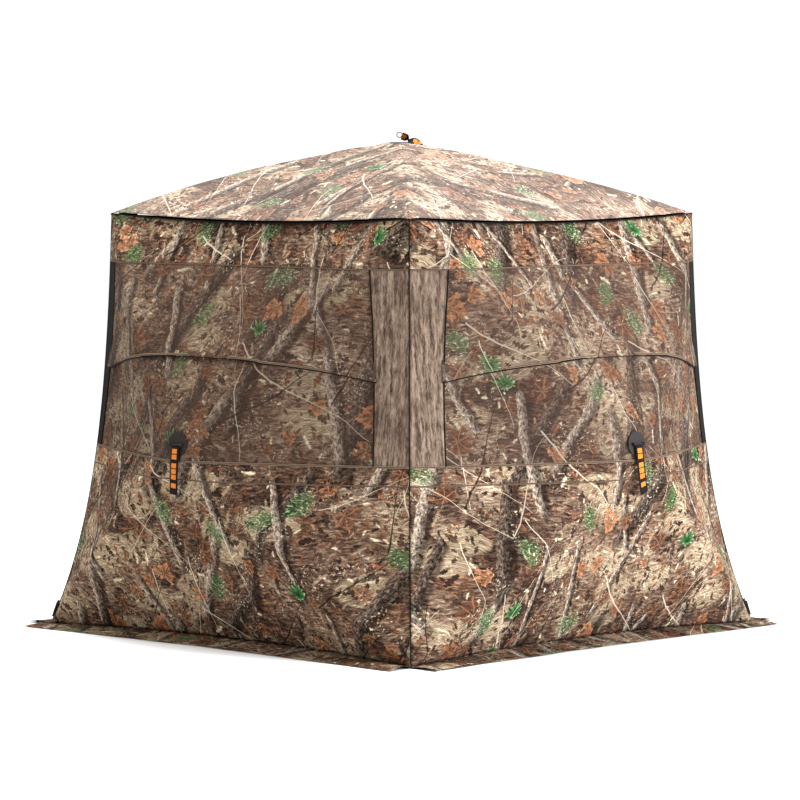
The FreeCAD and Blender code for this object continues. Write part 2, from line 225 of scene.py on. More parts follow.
def hub_swell(r, slope):
    """Lift that lays the cloth flat over the hub's disc and lets it fall away outside it."""
    return slope * r * (1 - smooth_step(HUB_FLAT_R, HUB_SKIRT_R, r))


def dip_between(s, off_ridge, dip):
    """How far the cloth falls in between two ridges."""
    return dip * 4 * s * (1 - s) * (1 - np.exp(-(off_ridge / 0.35) ** 2))


def wall_out(x, z):
    """How far out from the middle of the blind the front wall's cloth stands at (x, z)."""
    s, off_ridge = wall_gauge(x, z)
    dz = z - HUB_Z
    edge = soft_max(np.abs(x), EAVE_HALF * dz / (EAVE_Z - HUB_Z), RIDGE_ROUND)
    edge = soft_max(edge, -BASE_HALF * dz / HUB_Z, RIDGE_ROUND)
    dip = dip_between(s, off_ridge, WALL_DIP)
    r = np.hypot(x, dz)
    relief = RELIEF * ripple(x, z, 11) * 4 * s * (1 - s)
    out = (1 - s) * WALL_PEAK_OUT + edge + arch_over(s, WALL_ARCH) - dip + relief
    out = out - FOOT_BOW * mid_share(x) * np.clip(-dz / HUB_Z, 0, 1) ** 4
    near_hub = 0.007 * np.exp(-(r / 0.26) ** 2) * (1 - np.exp(-(r / 0.085) ** 2))
    return out + near_hub + hub_swell(r, WALL_HUB_SLOPE)


def roof_z(x, y):
    """Height of the roof's cloth."""
    big = soft_max(np.abs(x), np.abs(y), 0.040) - 0.020
    s = np.clip(big / EAVE_HALF, 0, 1)
    across = np.minimum(np.abs(x), np.abs(y)) / np.maximum(big, 1e-6)
    off_ridge = np.clip(1 - across, 0, 1)
    dip = dip_between(s, off_ridge, ROOF_DIP)
    sag = EAVE_SAG * s ** 2 * (1 - np.clip(across, 0, 1) ** 2)
    r = np.hypot(x, y)
    relief = RELIEF * ripple(x, y, 5) * 4 * s * (1 - s)
    fall = s * (ROOF_PEAK_Z - EAVE_Z)
    fall = fall - 0.007 * np.exp(-((s - 0.16) / 0.12) ** 2)
    arch = ROOF_ARCH - ROOF_ARCH_DROP * (x + y) / (math.sqrt(2) * np.maximum(r, 1e-3))
    return ROOF_PEAK_Z - fall + arch_over(s, arch) - dip - sag + relief + hub_swell(r, ROOF_HUB_SLOPE)


def turned(points, degrees):
    """Points of the front wall turned about Z to another wall."""
    a = math.radians(degrees)
    x, y = points[..., 0], points[..., 1]
    out = points.copy()
    out[..., 0] = x * math.cos(a) - y * math.sin(a)
    out[..., 1] = x * math.sin(a) + y * math.cos(a)
    return out


def unit(v):
    return v / np.linalg.norm(v, axis=-1, keepdims=True)


# -------------------- meshes

def new_object(name, verts, faces, materials):
    mesh = bpy.data.meshes.new(name)
    mesh.from_pydata([tuple(v) for v in verts], [], faces)
    for material in materials:
        mesh.materials.append(material)
    mesh.polygons.foreach_set("use_smooth", [True] * len(mesh.polygons))
    obj = bpy.data.objects.new(name, mesh)
    bpy.context.scene.collection.objects.link(obj)
    return obj


def set_print(obj, coords):
    """Stores the flat cloth coordinates, in metres, that the printed materials read."""
    attribute = obj.data.attributes.new("print", "FLOAT_VECTOR", "POINT")
    attribute.data.foreach_set("vector", np.asarray(coords, np.float32).reshape(-1))


def grid_faces(rows, columns, flip=False):
    faces = []
    for i in range(rows - 1):
        for j in range(columns - 1):
            a = i * columns + j
            quad = (a, a + 1, a + columns + 1, a + columns)
            faces.append(quad[::-1] if flip else quad)
    return faces


def cloth_grid(name, p, coords, outer, inner, flip=False):
    """A sheet of cloth from a grid of points, with its own thickness and its own inner face."""
    rows, columns = p.shape[:2]
    obj = new_object(name, p.reshape(-1, 3), grid_faces(rows, columns, flip), [outer, inner])
    set_print(obj, coords.reshape(-1, 3))
    solid = obj.modifiers.new("cloth", "SOLIDIFY")
    solid.thickness = CLOTH_THICK
    solid.offset = -1
    solid.material_offset = 1
    solid.material_offset_rim = 0
    solid.use_even_offset = False
    return obj


def carry(obj):
    """Bakes a piece's place into its mesh."""
    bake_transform(obj)


def wall_points(x, z, lift=0.0):
    out = wall_out(x, z) + lift
    return np.stack([x, -out, z * np.ones_like(out)], axis=-1)


def wall_print(x, z, wall):
    shift_x, shift_z = PRINT_SHIFT[wall]
    return np.stack([x + shift_x, z + shift_z, np.zeros_like(x)], axis=-1)


def wall_patch(name, wall, x_edges, z_edges, outer, inner, node, lift=None):
    """A patch of the wall's surface, which stands for a CAD node: x_edges(z) gives its sides,
    z_edges(x) its foot and top, and lift(x, v) how far it stands off the surface."""
    z_low, z_high = z_edges(0.0)
    left, right = x_edges((z_low + z_high) / 2)
    columns = max(3, int(round((right - left) / STEP)) + 1)
    rows = max(3, int(round((z_high - z_low) / STEP)) + 1)
    u, v = np.meshgrid(np.linspace(0, 1, columns), np.linspace(0, 1, rows))
    z = z_low + v * (z_high - z_low)
    for _ in range(3):
        left, right = x_edges(z)
        x = left + u * (right - left)
        low, high = z_edges(x)
        z = low + v * (high - low)
    p = wall_points(x, z, lift(x, v) if lift else 0.0)
    obj = cloth_grid(name + "_" + wall, turned(p, WALL_TURN_DEG[wall]), wall_print(x, z, wall), outer, inner)
    carry(obj)
    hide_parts(node + "_" + wall)


def path_strip(name, points, normals, width, thick, material, coords=None):
    """A flat sewn strip with rounded edges along a line of points, closed all round. It also gives
    each vertex's place in the line."""
    tangents = unit(np.gradient(points, axis=0))
    sides = unit(np.cross(normals, tangents))
    ring = [(-0.5, 0.2), (-0.42, 0.8), (0.0, 1.0), (0.42, 0.8), (0.5, 0.2), (0.42, -0.5), (-0.42, -0.5)]
    count = len(ring)
    rows = [points + sides * (a * width) + normals * (b * thick) for a, b in ring]
    verts = np.stack(rows, axis=1).reshape(-1, 3)
    faces = []
    for i in range(len(points) - 1):
        for k in range(count):
            a, b = i * count + k, i * count + (k + 1) % count
            faces.append((a, b, b + count, a + count))
    faces.append(tuple(range(count))[::-1])
    faces.append(tuple((len(points) - 1) * count + k for k in range(count)))
    obj = new_object(name, verts, faces, [material])
    if coords is None:
        along = np.concatenate([[0], np.cumsum(np.linalg.norm(np.diff(points, axis=0), axis=1))])
        set_print(obj, [(s, a * width, 0.0) for s in along for a, b in ring])
    else:
        set_print(obj, np.repeat(coords, count, axis=0))
    return obj, np.repeat(np.arange(len(points)), count)


def wall_normals(x, z):
    h = 0.004
    dx = wall_points(x + h, z) - wall_points(x - h, z)
    dz = wall_points(x, z + h) - wall_points(x, z - h)
    return unit(np.cross(dx, dz))


def wall_strip(name, wall, x, z, width, thick, material, raise_by=0.0):
    """A sewn strip that follows a line on the wall."""
    normals = wall_normals(x, z)
    points = wall_points(x, z) + normals * raise_by
    degrees = WALL_TURN_DEG[wall]
    points, normals = turned(points, degrees), turned(normals, degrees)
    obj, index = path_strip(name + "_" + wall, points, normals, width, thick, material)
    carry(obj)


# -------------------- shader building

class Graph:
    """A short way to write node trees. An input is a socket, or the value it is set to."""

    def __init__(self, tree):
        self.tree = tree

    def put(self, kind, inputs=None, **settings):
        node = self.tree.nodes.new(kind)
        for key, value in settings.items():
            setattr(node, key, value)
        for key, value in (inputs or {}).items():
            self.give(node, key, value)
        return node

    def give(self, node, key, value):
        if isinstance(value, bpy.types.NodeSocket):
            self.tree.links.new(value, node.inputs[key])
        else:
            node.inputs[key].default_value = value

    def math(self, operation, a, b=0.0):
        return self.put("ShaderNodeMath", {0: a, 1: b}, operation=operation).outputs[0]

    def add(self, a, b):
        return self.math("ADD", a, b)

    def sub(self, a, b):
        return self.math("SUBTRACT", a, b)

    def mul(self, a, b):
        return self.math("MULTIPLY", a, b)

    def abs(self, a):
        return self.math("ABSOLUTE", a)

    def below(self, a, limit):
        return self.math("LESS_THAN", a, limit)

    def scaled(self, x, factor, offset):
        inputs = {0: x, 1: factor, 2: offset}
        return self.put("ShaderNodeMath", inputs, operation="MULTIPLY_ADD").outputs[0]

    def vector(self, operation, a, b):
        return self.put("ShaderNodeVectorMath", {0: a, 1: b}, operation=operation).outputs[0]

    def split(self, p):
        """The X and Y of a vector."""
        node = self.put("ShaderNodeSeparateXYZ", {0: p})
        return node.outputs[0], node.outputs[1]

    def step(self, x, low, high, to_low=0.0, to_high=1.0):
        """A smooth step from one value to another as x goes from low to high."""
        inputs = {0: x, 1: low, 2: high, 3: to_low, 4: to_high}
        return self.put("ShaderNodeMapRange", inputs, interpolation_type="SMOOTHSTEP").outputs[0]

    def noise(self, p, scale, detail=3.0, rough=0.55, output="Fac"):
        inputs = {"Vector": p, "Scale": scale, "Detail": detail, "Roughness": rough}
        return self.put("ShaderNodeTexNoise", inputs).outputs[output]

    def ramp(self, x, stops, constant=False):
        """Colours by place: the stops are pairs of a place and a hex code."""
        node = self.put("ShaderNodeValToRGB", {0: x})
        ramp = node.color_ramp
        ramp.interpolation = "CONSTANT" if constant else "LINEAR"
        while len(ramp.elements) < len(stops):
            ramp.elements.new(1.0)
        for element, (place, code) in zip(ramp.elements, stops):
            element.position = place
            element.color = (*srgb(code), 1.0)
        return node.outputs[0]

    def mix(self, factor, a, b, mode="MIX"):
        """Two colours mixed. Each is a socket, a hex code or three numbers."""
        inputs = {0: factor}
        for key, color in ((6, a), (7, b)):
            color = srgb(color) if isinstance(color, str) else color
            inputs[key] = (*color, 1.0) if isinstance(color, tuple) else color
        return self.put("ShaderNodeMix", inputs, data_type="RGBA", blend_type=mode).outputs[2]

    def shade(self, color, x):
        """A colour made x times as bright."""
        grey = self.put("ShaderNodeCombineColor", {0: x, 1: x, 2: x}).outputs[0]
        return self.mix(1.0, color, grey, "MULTIPLY")

    def stretch(self, p, x, y, turn=0.0):
        inputs = {"Vector": p, "Scale": (x, y, 1.0), "Rotation": (0, 0, turn)}
        return self.put("ShaderNodeMapping", inputs).outputs[0]


def srgb(code):
    """A linear colour from a hex code."""
    values = [int(code[i:i + 2], 16) / 255 for i in (0, 2, 4)]
    return tuple(v / 12.92 if v <= 0.04045 else ((v + 0.055) / 1.055) ** 2.4 for v in values)


def stamp(g, p, scale, lean=0.0, spread=math.pi, shift=(0, 0, 0)):
    """Random cells: the place in the cell, turned by a random angle, first as X and Y and last as a
    vector, with two random numbers between them."""
    moved = g.vector("ADD", p, shift)
    inputs = {"Vector": moved, "Scale": scale, "Randomness": 0.95}
    cell = g.put("ShaderNodeTexVoronoi", inputs, voronoi_dimensions="2D")
    local = g.vector("SUBTRACT", moved, cell.outputs["Position"])
    pick = g.put("ShaderNodeSeparateColor", {0: cell.outputs["Color"]})
    angle = g.scaled(pick.outputs[0], 2 * spread, lean - spread)
    turn = g.put("ShaderNodeVectorRotate", {"Vector": local, "Angle": angle}, rotation_type="Z_AXIS")
    u, v = g.split(turn.outputs[0])
    return u, v, pick.outputs[1], pick.outputs[2], turn.outputs[0]


def leaf_mask(g, u, v, length, width, lobes):
    """A pointed leaf with lobed sides, 1 inside and 0 outside, and how far a point is to its side."""
    along = g.math("DIVIDE", u, length)
    body = g.math("MAXIMUM", g.sub(1.0, g.mul(along, along)), 0.0)
    wave = g.abs(g.math("SINE", g.mul(along, lobes)))
    edge = g.mul(body, g.scaled(wave, 0.55, 0.45))
    share = g.math("DIVIDE", g.abs(v), width)
    return g.step(g.sub(edge, share), 0.0, 0.12), share


def streaks(g, p, turn, long, fine):
    """Fine grain that runs one way: long along the turned X, fine across it."""
    return g.noise(g.stretch(p, 1 / long, 1 / fine, turn), 1.0, 4.0, 0.7)


def fan(g, u, v, petals, reach):
    """Folds a stamp into petals round its middle: the place along and across the nearest petal, the
    petal's length and the distance from the middle."""
    radius = g.math("SQRT", g.add(g.mul(u, u), g.mul(v, v)))
    angle = g.math("ARCTAN2", v, u)
    turn = g.mul(angle, petals / (2 * math.pi))
    near = g.math("ROUND", turn)
    off = g.mul(g.sub(turn, near), 2 * math.pi / petals)
    along = g.mul(radius, g.math("COSINE", off))
    across = g.mul(radius, g.math("SINE", off))
    vary = g.put("ShaderNodeTexWhiteNoise", {"W": near}, noise_dimensions="1D").outputs["Value"]
    length = g.scaled(vary, reach * 0.45, reach * 0.6)
    length = g.mul(length, g.step(g.math("COSINE", angle), -1.0, 0.2, 0.35, 1.0))
    return along, across, length, radius


def blade_mask(g, along, across, length, width, lobes=0.0):
    """A pointed blade or a lobed leaf: 1 inside, then how far a point is to its side and its tip."""
    t = g.math("DIVIDE", along, length)
    body = g.mul(g.mul(t, g.sub(1.05, t)), 4.0)
    body = g.math("MAXIMUM", body, 0.0)
    if lobes:
        wave = g.abs(g.math("SINE", g.mul(t, lobes)))
        body = g.mul(body, g.step(wave, 0.0, 1.0, 0.40, 1.0))
    share = g.math("DIVIDE", g.abs(across), width)
    return g.step(g.sub(body, share), 0.0, 0.15), share, t


def jittered(g, p, source, scale, detail, rough, reach):
    """Points moved a little, each its own way, so that what is drawn there has rough edges."""
    way = g.vector("SUBTRACT", g.noise(source, scale, detail, rough, "Color"), (0.5, 0.5, 0.5))
    return g.vector("ADD", p, g.vector("MULTIPLY", way, reach))


# -------------------- the woodland print, layer by layer

def litter(g, p, rough):
    """Forest floor: fine litter that lies flat here and leans there, and warm drifts of dead leaves."""
    broad = g.noise(p, 2.6, 3.0, 0.6)
    flat = streaks(g, rough, 0.10, 0.036, 0.0080)
    leaning = streaks(g, rough, 0.85, 0.040, 0.0085)
    lie = g.step(g.noise(p, 4.0, 2.0, 0.5), 0.46, 0.54)
    grain = g.add(g.mul(flat, g.sub(1.0, lie)), g.mul(leaning, lie))
    tone = g.add(g.mul(broad, 0.46), g.mul(grain, 0.62))
    floor = [(0.40, "19120f"), (0.465, "38281f"), (0.53, "5b4536"), (0.60, "7e6854"), (0.69, "b8a68c")]
    warm = g.step(g.noise(g.vector("ADD", p, (5.0, 3.0, 0.0)), 5.5, 3.0, 0.6), 0.53, 0.64)
    rust = g.ramp(grain, [(0.36, "26170f"), (0.48, "5f3e27"), (0.58, "855c3a"), (0.70, "b89067")])
    return g.mix(g.mul(warm, 0.60), g.ramp(tone, floor), rust), grain


def grass_mounds(g, color, p):
    """Mounds of dry grass, each a lens of curved pale blades."""
    half_length, half_height = 0.125, 0.066
    straw = [(0.32, "3e3128"), (0.43, "79664f"), (0.54, "9f8c70"), (0.70, "cfc0a1")]
    for scale, shift, share in ((3.6, (2.4, 8.1, 0), 0.60), (4.6, (6.9, 3.7, 0), 0.45)):
        u, v, a, b, _ = stamp(g, p, scale, spread=0.25, shift=shift)
        along = g.math("DIVIDE", u, half_length)
        up = g.math("DIVIDE", v, half_height)
        near = g.add(g.mul(along, along), g.mul(up, up))
        mask = g.mul(g.step(near, 1.0, 0.60), g.below(b, share))
        bend = g.add(v, g.mul(g.mul(u, u), 3.2))
        blades = g.put("ShaderNodeCombineXYZ", {0: g.mul(u, 34.0), 1: g.mul(bend, 300.0), 2: a})
        blade = g.noise(blades.outputs[0], 1.0, 3.0, 0.65)
        color = g.mix(g.mul(mask, 0.72), color, g.ramp(blade, straw))
    return color


def small_leaves(g, color, rough, grain):
    """Small fallen leaves, close in tone to the floor."""
    tints = [
        (0.0, "3b2a20"), (0.20, "57402f"), (0.38, "75492d"), (0.52, "8a745c"),
        (0.66, "4b3a2e"), (0.84, "b9a98c"), (0.91, "775940"),
    ]
    for scale, length, width, shift, share in (
        (34.0, 0.017, 0.008, (1.3, 0.4, 0), 0.70),
        (18.0, 0.034, 0.013, (4.1, 2.2, 0), 0.40),
    ):
        u, v, a, b, _ = stamp(g, rough, scale, shift=shift)
        mask, side = leaf_mask(g, u, v, length, width, 7.0)
        tint = g.ramp(a, tints, constant=True)
        tint = g.shade(tint, g.step(side, 0.0, 0.8, 1.15, 0.45))
        tint = g.shade(tint, g.step(grain, 0.35, 0.65, 0.6, 1.25))
        color = g.mix(g.mul(mask, g.below(b, share)), color, tint)
    return color


def trunks(g, color, p):
    """Standing trunks and leaning limbs: flecked, lit from one side, with a shadow at the other."""
    pale = [(0.42, "382a22"), (0.48, "77665a"), (0.55, "a4937f"), (0.66, "cfc2ae")]
    dark = [(0.40, "1d1511"), (0.49, "473930"), (0.57, "766455"), (0.68, "ab9b89")]
    for scale, lean, spread, half, shift, share, tints in (
        (2.3, 1.20, 0.22, 0.026, (0.3, 7.7, 0), 0.62, pale),
        (2.0, 1.05, 0.30, 0.034, (3.3, 2.5, 0), 0.62, dark),
        (2.7, 1.85, 0.25, 0.020, (5.2, 1.9, 0), 0.60, pale),
    ):
        u, v, a, b, local = stamp(g, p, scale, lean=-lean, spread=spread, shift=shift)
        width = g.add(g.mul(a, half * 0.5), half * 0.5)
        side = g.math("DIVIDE", v, width)
        keep = g.mul(g.below(b, share), g.step(g.abs(u), 0.30, 0.22))
        shadow = g.mul(g.step(g.abs(g.add(side, 0.7)), 1.7, 0.9), keep)
        color = g.mix(g.mul(shadow, 0.65), color, "160f0c")
        mask = g.mul(g.step(g.abs(side), 1.0, 0.82), keep)
        grooves = streaks(g, local, 0.0, 0.022, 0.0055)
        flecks = g.noise(g.stretch(local, 60.0, 60.0), 1.0, 4.0, 0.7)
        limb = g.ramp(g.add(g.mul(grooves, 0.46), g.mul(flecks, 0.56)), tints)
        limb = g.shade(limb, g.step(side, -1.0, 0.9, 0.35, 1.10))
        color = g.mix(mask, color, limb)
    return color


def oak_leaves(g, color, rough, grain):
    """Bunches of lobed oak leaves, each bunch over a dark halo."""
    tints = [(0.0, "633d25"), (0.25, "80502f"), (0.50, "95623a"), (0.75, "714b32")]
    for scale, reach, petals, shift, share in (
        (4.6, 0.082, 7, (2.7, 3.1, 0), 0.44),
        (6.4, 0.060, 6, (9.4, 0.8, 0), 0.32),
    ):
        u, v, a, b, _ = stamp(g, rough, scale, shift=shift)
        along, across, length, radius = fan(g, u, v, petals, reach)
        mask, side, t = blade_mask(g, along, across, length, reach * 0.24, lobes=7.0)
        keep = g.below(b, share)
        tint = g.ramp(a, tints, constant=True)
        tint = g.shade(tint, g.step(t, 0.1, 0.9, 0.55, 1.20))
        tint = g.shade(tint, g.step(grain, 0.38, 0.62, 0.62, 1.25))
        tint = g.mix(g.step(side, 0.16, 0.04, 0.0, 0.35), tint, "b58c64")
        halo = g.mul(g.step(radius, reach * 0.95, reach * 0.25), keep)
        color = g.mix(g.mul(halo, 0.60), color, "1c110b")
        color = g.mix(g.mul(g.mul(mask, keep), 0.92), color, tint)
    return color


def loose_greens(g, color, p, needles):
    """Loose pale green growth that thins out from its middle."""
    u, v, _, b, _ = stamp(g, p, 3.2, shift=(6.6, 4.4, 0))
    far = g.math("SQRT", g.add(g.mul(u, u), g.mul(g.mul(v, v), 2.2)))
    body = g.step(far, 0.100, 0.030)
    keep = g.mul(g.below(b, 0.50), g.step(g.add(needles, g.mul(body, 0.30)), 0.70, 0.78))
    green = g.ramp(needles, [(0.36, "17240f"), (0.50, "31502b"), (0.58, "60774c"), (0.68, "cbceae")])
    return g.mix(g.mul(keep, 0.85), color, green)


def green_sprigs(g, color, rough, needles):
    """Dense sprigs of pointed green blades, each over a dark halo."""
    reach = 0.062
    u, v, _, b, _ = stamp(g, rough, 3.4, lean=-1.4, spread=0.7, shift=(1.6, 9.4, 0))
    along, across, length, radius = fan(g, u, v, 13, reach)
    mask, _, t = blade_mask(g, along, across, length, reach * 0.085)
    keep = g.below(b, 0.16)
    halo = g.mul(g.step(radius, reach, reach * 0.35), keep)
    color = g.mix(g.mul(halo, 0.70), color, "0e160f")
    blade = g.ramp(t, [(0.0, "13240f"), (0.40, "2b5529"), (0.75, "4a7c43"), (1.0, "a9b58c")])
    blade = g.shade(blade, g.step(needles, 0.36, 0.62, 0.55, 1.30))
    return g.mix(g.mul(mask, keep), color, blade)


def flecks_and_gaps(g, color, p, rough):
    """Bright flecks of birch and dry leaf, and dark gaps."""
    patch = g.step(g.noise(g.vector("ADD", p, (1.0, 9.0, 0.0)), 7.0, 2.0, 0.5), 0.47, 0.62)
    fleck = g.step(g.noise(rough, 85.0, 3.0, 0.7), 0.565, 0.66)
    color = g.mix(g.mul(g.mul(fleck, patch), 0.80), color, "d0c1a6")
    gaps = g.step(g.noise(g.vector("ADD", rough, (7.0, 2.0, 0.0)), 60.0, 4.0, 0.75), 0.55, 0.66)
    return g.mix(g.mul(gaps, 0.60), color, "120c09")


def twigs(g, color, source):
    """Long pale twigs and dark ones, bowed and crossing."""
    for scale, lean, spread, half, shift, share, tint in (
        (2.1, 0.65, 0.22, 0.0020, (8.2, 5.1, 0), 0.42, "b3a590"),
        (2.4, 0.95, 0.30, 0.0012, (1.9, 9.3, 0), 0.38, "bbae98"),
        (3.0, -0.70, 0.45, 0.0013, (3.8, 6.2, 0), 0.30, "a89a86"),
        (3.4, 1.45, 0.35, 0.0012, (5.5, 0.6, 0), 0.25, "c0b49e"),
        (2.8, -1.0, 0.5, 0.0022, (7.7, 8.8, 0), 0.60, "160f0b"),
    ):
        u, v, _, b, local = stamp(g, source, scale, lean=lean, spread=spread, shift=shift)
        bow = g.mul(g.math("SINE", g.mul(u, 13.0)), 0.010)
        jog = g.mul(g.sub(g.noise(local, 10.0, 2.0, 0.5), 0.5), 0.022)
        off = g.abs(g.sub(v, g.add(bow, jog)))
        thin = g.step(u, -0.22, 0.22, half * 1.6, half * 0.6)
        mask = g.mul(g.below(off, thin), g.below(b, share))
        color = g.mix(g.mul(mask, 0.80), color, tint)
    return color


def woodland_group():
    """The whole print as one node group: floor, grass, leaves, trunks, greens and twigs."""
    tree = bpy.data.node_groups.new("woodland_print", "ShaderNodeTree")
    tree.interface.new_socket("Vector", in_out="INPUT", socket_type="NodeSocketVector")
    tree.interface.new_socket("Color", in_out="OUTPUT", socket_type="NodeSocketColor")
    g = Graph(tree)
    source = g.put("NodeGroupInput").outputs[0]
    p = jittered(g, source, source, 8.0, 3.0, 0.6, (0.035, 0.045, 0.0))
    rough = jittered(g, p, source, 75.0, 3.0, 0.65, (0.014, 0.014, 0.0))
    color, grain = litter(g, p, rough)
    color = grass_mounds(g, color, p)
    color = small_leaves(g, color, rough, grain)
    color = trunks(g, color, p)
    color = oak_leaves(g, color, rough, grain)
    needles = streaks(g, rough, 1.2, 0.018, 0.0050)
    color = loose_greens(g, color, p, needles)
    color = green_sprigs(g, color, rough, needles)
    color = flecks_and_gaps(g, color, p, rough)
    color = twigs(g, color, source)
    tree.links.new(color, g.put("NodeGroupOutput").inputs[0])
    return tree


# -------------------- materials

def new_material(name, roughness=0.5, specular=0.5):
    material = bpy.data.materials.new(name)
    material.use_nodes = True
    material.node_tree.nodes.clear()
    g = Graph(material.node_tree)
    shader = g.put("ShaderNodeBsdfPrincipled", {"Roughness": roughness, "Specular IOR Level": specular})
    g.give(g.put("ShaderNodeOutputMaterial"), 0, shader.outputs[0])
    return material, g, shader


def print_place(g):
    return g.put("ShaderNodeAttribute", attribute_name="print").outputs["Vector"]


def object_place(g):
    return g.put("ShaderNodeTexCoord").outputs["Object"]


def scaled_colour(colour, factor):
    return tuple(min(1.0, c * factor) for c in colour)


def weave_height(g, p, pitch):
    """The over and under of a plain weave, as a height."""
    across, along = (g.math("SINE", g.mul(at, 2 * math.pi / pitch)) for at in g.split(p))
    return g.mul(across, along)


def join_bump(g, shader, height, strength, distance):
    bump = g.put("ShaderNodeBump", {"Height": height, "Strength": strength, "Distance": distance})
    g.give(shader, "Normal", bump.outputs[0])


def cloth_material(name, group, value, saturation, contrast, tint_and_sheen=0.0, tint_and_sheen_colour="000000", shine=0.05):
    """Printed polyester: the woodland print on a fine weave with faint creases. An overlay colour may be
    mixed over the print: painted sheen on the roof, a darker muted tint on the window.
    """
    material, g, shader = new_material(name, 0.88, shine)
    p = print_place(g)
    color = g.put("ShaderNodeGroup", node_tree=group)
    g.give(color, 0, p)
    color = g.put("ShaderNodeGamma", {0: color.outputs[0], 1: contrast}).outputs[0]
    inputs = {"Saturation": saturation, "Value": value, "Color": color}
    color = g.put("ShaderNodeHueSaturation", inputs).outputs[0]
    # Mixes the overlay colour over the print: on the roof it is painted sheen, on the window a dark tint.
    g.give(shader, "Base Color", g.mix(tint_and_sheen, color, tint_and_sheen_colour) if tint_and_sheen else color)
    crease = g.noise(p, 5.0, 3.0, 0.5)
    height = g.add(g.mul(crease, 6.0), g.mul(weave_height(g, p, WEAVE_PITCH), 0.10))
    join_bump(g, shader, height, 0.5, 0.001)
    return material


def bark_material():
    """The corner columns' print: a tree's bark running up the seam."""
    material, g, shader = new_material("bark_print", 0.88, 0.05)
    p = print_place(g)
    rough = jittered(g, p, p, 40.0, 4.0, 0.6, (0.014, 0.02, 0))
    ridges = g.noise(g.stretch(rough, 75.0, 5.0), 1.0, 5.0, 0.7)
    flakes = g.noise(g.stretch(rough, 130.0, 26.0), 1.0, 4.0, 0.7)
    tints = [(0.38, "281e19"), (0.46, "4c3d33"), (0.54, "6f5e50"), (0.64, "8d7c6a"), (0.76, "ad9d88")]
    color = g.ramp(g.add(g.mul(ridges, 0.6), g.mul(flakes, 0.42)), tints)
    patches = g.step(g.noise(p, 6.0, 3.0, 0.5), 0.45, 0.65)
    g.give(shader, "Base Color", g.mix(g.mul(patches, 0.35), color, "32261f"))
    join_bump(g, shader, weave_height(g, p, WEAVE_PITCH), 0.3, 0.0002)
    return material


def plain_cloth(name, colour):
    """Unprinted cloth with a visible weave."""
    material, g, shader = new_material(name, 0.9, 0.08)
    p = print_place(g)
    tone = g.noise(p, 30.0, 3.0, 0.6)
    g.give(shader, "Base Color", g.mix(tone, scaled_colour(colour, 0.7), scaled_colour(colour, 1.3)))
    join_bump(g, shader, weave_height(g, p, WEAVE_PITCH), 0.5, 0.0004)
    return material


def stitched_tape(name, code, thread):
    """Binding tape with a row of stitches near each edge."""
    material, g, shader = new_material(name, 0.85, 0.08)
    p = print_place(g)
    along, across = g.split(p)
    tone = g.noise(p, 45.0, 3.0, 0.6)
    color = g.mix(tone, scaled_colour(srgb(code), 0.6), scaled_colour(srgb(code), 1.4))
    row = g.abs(g.sub(g.abs(across), 0.0032))
    dash = g.math("FRACT", g.mul(along, 250.0))
    stitch = g.mul(g.step(row, 0.0009, 0.0005), g.below(dash, 0.68))
    g.give(shader, "Base Color", g.mix(stitch, color, thread))
    join_bump(g, shader, stitch, 0.6, 0.0006)
    return material


def moulded_plastic(name, colour, rough=0.5):
    """Moulded nylon: fine grain and a few lighter scuffs."""
    material, g, shader = new_material(name, specular=0.15)
    p = object_place(g)
    tone = g.noise(p, 60.0, 4.0, 0.6)
    scuff = g.step(g.noise(p, 25.0, 5.0, 0.7), 0.62, 0.75)
    color = g.mix(tone, scaled_colour(colour, 0.7), scaled_colour(colour, 1.4))
    g.give(shader, "Base Color", g.mix(g.mul(scuff, 0.15), color, (0.08, 0.07, 0.065)))
    g.give(shader, "Roughness", g.step(tone, 0.3, 0.7, rough - 0.08, rough + 0.12))
    join_bump(g, shader, g.noise(p, 900.0, 2.0, 0.5), 0.15, 0.0004)
    return material


def metal(name, colour, rough):
    """Drawn or pressed metal with fine streaks."""
    material, g, shader = new_material(name)
    streak = g.noise(g.stretch(object_place(g), 60.0, 600.0), 1.0, 3.0, 0.6)
    g.give(shader, "Base Color", g.mix(streak, scaled_colour(colour, 0.75), colour))
    g.give(shader, "Metallic", 1.0)
    g.give(shader, "Roughness", g.step(streak, 0.3, 0.7, rough * 0.8, rough * 1.3))
    join_bump(g, shader, streak, 0.1, 0.0002)
    return material


def strap_material():
    """Black webbing with woven orange blocks down its middle, in three groups."""
    material, g, shader = new_material("strap_webbing", 0.8, 0.1)
    p = print_place(g)
    along, across = g.split(p)
    block = 0.0
    for start, count in ((0.016, 2), (0.074, 3), (0.155, 1)):
        place = g.mul(g.sub(along, start), 1 / BLOCK_PITCH)
        inside = g.mul(g.math("GREATER_THAN", place, 0.0), g.below(place, float(count)))
        in_block = g.math("FRACT", place)
        shape = g.mul(g.step(in_block, 0.05, 0.09), g.step(in_block, 0.92, 0.88))
        block = g.math("MAXIMUM", block, g.mul(inside, shape))
    block = g.mul(block, g.step(g.abs(across), BLOCK_HALF_WIDTH, BLOCK_HALF_WIDTH - 0.0007))
    fleck = g.noise(p, 160.0, 3.0, 0.6)
    orange = g.mix(fleck, "9a4a12", "dd842c")
    black = g.mix(fleck, "060404", "1a110e")
    g.give(shader, "Base Color", g.mix(block, black, orange))
    join_bump(g, shader, weave_height(g, p, 0.003), 0.6, 0.0005)
    return material


# -------------------- the stage

def aim(obj, place, target):
    """Puts a camera or a light at a place and turns it to face a target."""
    bpy.context.scene.collection.objects.link(obj)
    obj.location = place
    obj.rotation_mode = "QUATERNION"
    obj.rotation_quaternion = (target - Vector(place)).to_track_quat("-Z", "Y")


def set_world():
    scene = bpy.context.scene
    scene.view_settings.view_transform = "Standard"
    scene.world = bpy.data.worlds.new("studio")
    scene.world.use_nodes = True
    background = scene.world.node_tree.nodes["Background"]
    background.inputs[0].default_value = (1.0, 1.0, 1.0, 1.0)
    background.inputs[1].default_value = WORLD_LIGHT


